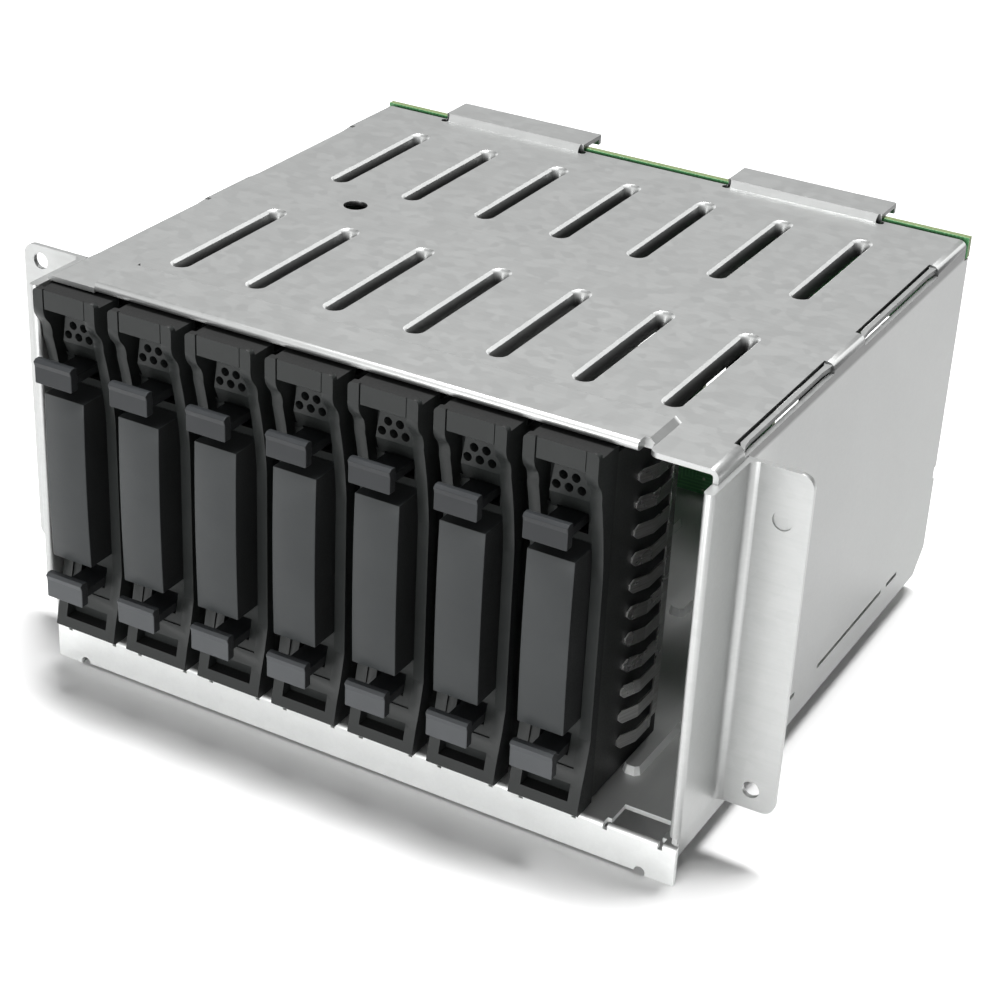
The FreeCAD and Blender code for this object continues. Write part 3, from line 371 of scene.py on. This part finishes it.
def spring_sheet(name):
    """Polished spring strip, drawn lengthways."""
    s = Shader(name)
    drawn = s.noise(s.scaled(*DRAWN_GRAIN), scale=1.0, detail=4.0)
    cloud = s.noise(s.place, scale=90.0, detail=4.0)
    base = s.blend(s.vary(drawn, 0, 1), STRIP_DARK, STRIP_PALE)
    s.bump(drawn, strength=0.1, distance=0.02 * MM)
    return s.finish(Base_Color=base, Metallic=METALLIC, Roughness=s.vary(cloud, *POLISH))


def plated(name, level, tint=(1, 1, 1)):
    """Bright plated metal with fine pitting."""
    s = Shader(name)
    pits = s.noise(s.place, scale=1800.0)
    cloud = s.noise(s.place, scale=160.0)
    base = s.blend(s.vary(cloud, 0, 1), grey(level * PLATED_DARKER, tint), grey(level, tint))
    s.bump(pits, strength=0.12, distance=0.03 * MM)
    return s.finish(Base_Color=base, Metallic=METALLIC, Roughness=s.vary(cloud, *PLATING))


def laminate(name):
    """Circuit board: green mask over copper runs, and a dull olive core at the edges."""
    s = Shader(name)
    zones = s.cells(s.scaled(1, 0, 1), ZONE_SCALE)
    along = s.rise(s.axis_part(zones.outputs["Color"], 0), *ZONE_EDGE)
    run = s.math("ADD", s.times(s.bands("X", RUN_SCALE), along),
                 s.times(s.bands("Z", RUN_SCALE), s.math("SUBTRACT", 1.0, along)))
    copper = s.rise(run, *RUN_EDGE)
    via = s.cells(s.scaled(1, 0, 1), VIA_SCALE, randomness=0.0)
    dot = s.times(s.fall(via.outputs["Distance"], *VIA_EDGE),
                  s.rise(s.noise(s.place, scale=70.0), *VIA_CHOICE))
    mask = s.blend(dot, s.blend(copper, MASK_DARK, MASK_PALE), VIA_TIN)
    weave = s.noise(s.scaled(*WEAVE_GRAIN), scale=1.0)
    core = s.blend(s.rise(weave, *WEAVE), CORE_DARK, CORE_PALE)
    faces = s.rise(s.lean(1), *BOARD_FACE)
    rough = s.span(faces, 0, 1, CORE_ROUGHNESS, MASK_ROUGHNESS)
    s.bump(s.times(copper, faces), strength=0.3, distance=0.03 * MM)
    return s.finish(Base_Color=s.blend(faces, core, mask), Roughness=rough)


MATERIALS = {
    # The shell's X-facing faces take painted shade, its slots painted shade and a painted
    # highlight.
    "galvanised_steel": zinc_sheet("zinc_shell", level=0.46, grain=(90, 1500, 1500),
                                   side_shade=0.54, slots=(-0.05, 0.08)),
    # A paler, less metallic copy of the shell's zinc sheet: painted light on the tray; its
    # flat faces take painted shade.
    "floor_steel": zinc_sheet("zinc_floor", level=0.9, grain=(1500, 90, 1500),
                              metal=0.4, flat_shade=0.55),
    "board_laminate": laminate("board"),
    "port_shield": plated("tinned_shield", level=0.62),
    "header_plastic": moulded("header_black", (0.02, 0.02, 0.021),
                              roughness=0.5, spark=2600.0),
    "connector_plastic": moulded("connector_black", (0.018, 0.018, 0.019),
                                 roughness=0.48, spark=2600.0),
    "screw_steel": plated("screw_nickel", level=0.66, tint=(1, 0.97, 0.9)),
    # The bezel, panel and latch plastics take painted shade on faces that look up or to +X.
    "bezel_plastic": moulded("bezel_charcoal", (0.016, 0.018, 0.0175),
                             roughness=0.42, spark=2200.0, gloss=0.26, top_shade=0.1, side_shade=0.6),
    "carrier_plastic": moulded("carrier_black", (0.012, 0.013, 0.013),
                               roughness=0.5, spark=2200.0),
    "panel_plastic": moulded("panel_grey", (0.031, 0.034, 0.035),
                             roughness=0.4, spark=3000.0, gloss=0.22, top_shade=0.5, side_shade=0.2),
    "latch_plastic": moulded("latch_charcoal", (0.022, 0.024, 0.026),
                             roughness=0.36, spark=3200.0, gloss=0.22, side_shade=0.3),
    "spring_steel": spring_sheet("spring_strip"),
}

# A paler copy of the latch plastic for the lower latches: painted light, as they are the same
# plastic as the upper ones; their +X faces also take painted shade.
LOWER_LATCH_PAINTED_PALER = moulded("latch_painted_paler", (0.056, 0.06, 0.064),
                      roughness=0.4, spark=3200.0, gloss=0.3, side_shade=0.2)


def edge_width(name):
    if "finger_spring" in name:
        return EDGE_THIN
    if name.startswith("blank"):
        return EDGE_BLANK
    if name in ("cage_shell", "floor_tray"):
        return EDGE_SHEET
    return EDGE_OTHER


def dress_frame():
    """Give every CAD node its material and a small rounded edge."""
    slots = {entry["node"]: entry["material_slot"] for entry in frame["record"]["subparts"]}
    for name, thing in frame["nodes"].items():
        lower = name.endswith("lower_latch")
        thing.data.materials.clear()
        # The lower latches get the paler copy: painted light.
        thing.data.materials.append(LOWER_LATCH_PAINTED_PALER if lower else MATERIALS[slots[name]])
        weld = thing.modifiers.new("weld", "WELD")
        weld.merge_threshold = WELD_REACH
        edge = thing.modifiers.new("edge", "BEVEL")
        edge.width = edge_width(name)
        edge.segments = 2
        edge.limit_method = "ANGLE"
        edge.angle_limit = EDGE_ANGLE
        edge.harden_normals = True


# ---------------------------------------------------------------- studio

def make_light(name, place, size, power):
    data = bpy.data.lights.new(name, "AREA")
    data.shape = "RECTANGLE"
    data.size, data.size_y = size
    data.energy = power
    light = bpy.data.objects.new(name, data)
    bpy.context.scene.collection.objects.link(light)
    light.location = place
    way = Vector(LAMP_AIM) - Vector(place)
    light.rotation_euler = way.to_track_quat("-Z", "Y").to_euler()


def ray_kind(nodes, links, *kinds):
    """1 for the named kinds of ray, else 0."""
    path = nodes.new("ShaderNodeLightPath")
    total = None
    for kind in kinds:
        socket = path.outputs["Is %s Ray" % kind]
        if total is not None:
            most = nodes.new("ShaderNodeMath")
            most.operation = "MAXIMUM"
            links.new(total, most.inputs[0])
            links.new(socket, most.inputs[1])
            socket = most.outputs[0]
        total = socket
    return total


def make_world():
    """White to the eye, a room with a bright front in reflections, a low even fill."""
    world = bpy.data.worlds.new("studio")
    bpy.context.scene.world = world
    world.use_nodes = True
    nodes = world.node_tree.nodes
    links = world.node_tree.links
    nodes.clear()

    def background(strength):
        made = nodes.new("ShaderNodeBackground")
        made.inputs["Color"].default_value = WHITE
        made.inputs["Strength"].default_value = strength
        return made

    def choose(factor, without, chosen):
        made = nodes.new("ShaderNodeMixShader")
        for index, socket in enumerate((factor, without.outputs[0], chosen.outputs[0])):
            links.new(socket, made.inputs[index])
        return made

    way = nodes.new("ShaderNodeSeparateXYZ")
    links.new(nodes.new("ShaderNodeTexCoord").outputs["Generated"], way.inputs[0])
    room = nodes.new("ShaderNodeMapRange")
    room.interpolation_type = "SMOOTHSTEP"
    links.new(way.outputs["Y"], room.inputs["Value"])
    for name, value in (("From Min", -ROOM_TURN), ("From Max", ROOM_TURN),
                        ("To Min", ROOM_FRONT), ("To Max", ROOM_BACK)):
        room.inputs[name].default_value = value
    mirrored = background(1.0)
    links.new(room.outputs[0], mirrored.inputs["Strength"])
    lighting = choose(ray_kind(nodes, links, "Glossy"), background(WORLD_FILL), mirrored)
    sight = choose(ray_kind(nodes, links, "Camera", "Transmission"), lighting, background(1.0))
    output = nodes.new("ShaderNodeOutputWorld")
    links.new(sight.outputs[0], output.inputs[0])


def make_floor():
    """A matt white floor, which the eye sees fade to plain white away from the cage."""
    mesh = bpy.data.meshes.new("floor")
    corners = [(x * FLOOR_HALF, y * FLOOR_HALF, 0)
               for x, y in ((-1, -1), (1, -1), (1, 1), (-1, 1))]
    mesh.from_pydata(corners, [], [(0, 1, 2, 3)])
    floor = bpy.data.objects.new("floor", mesh)
    bpy.context.scene.collection.objects.link(floor)
    s = Shader("floor_white")
    white = s.node("ShaderNodeEmission", Strength=1.0)
    away = s.node("ShaderNodeVectorMath", {"operation": "LENGTH"}, Vector=s.place)
    faded = s.rise(away.outputs["Value"], *FLOOR_FADE)
    seen = ray_kind(s.nodes, s.links, "Camera", "Glossy", "Transmission")
    mix = s.nodes.new("ShaderNodeMixShader")
    s.put(mix.inputs[0], s.times(seen, faded))
    s.put(mix.inputs[1], s.surface.outputs[0])
    s.put(mix.inputs[2], white.outputs[0])
    s.put(s.output.inputs["Surface"], mix.outputs[0])
    s.finish(Base_Color=FLOOR_GREY, Roughness=0.9, Specular_IOR_Level=0.0)
    floor.data.materials.append(s.material)
    floor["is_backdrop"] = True


make_camera()
dress_frame()
make_world()
make_floor()
for lamp, settings in LAMPS.items():
    make_light(lamp, **settings)

bpy.context.scene.view_settings.view_transform = "Standard"
boxes = {"cad": CAD_BOX, "visual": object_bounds()}
boxes = {name: [list(corner) for corner in box] for name, box in boxes.items()}
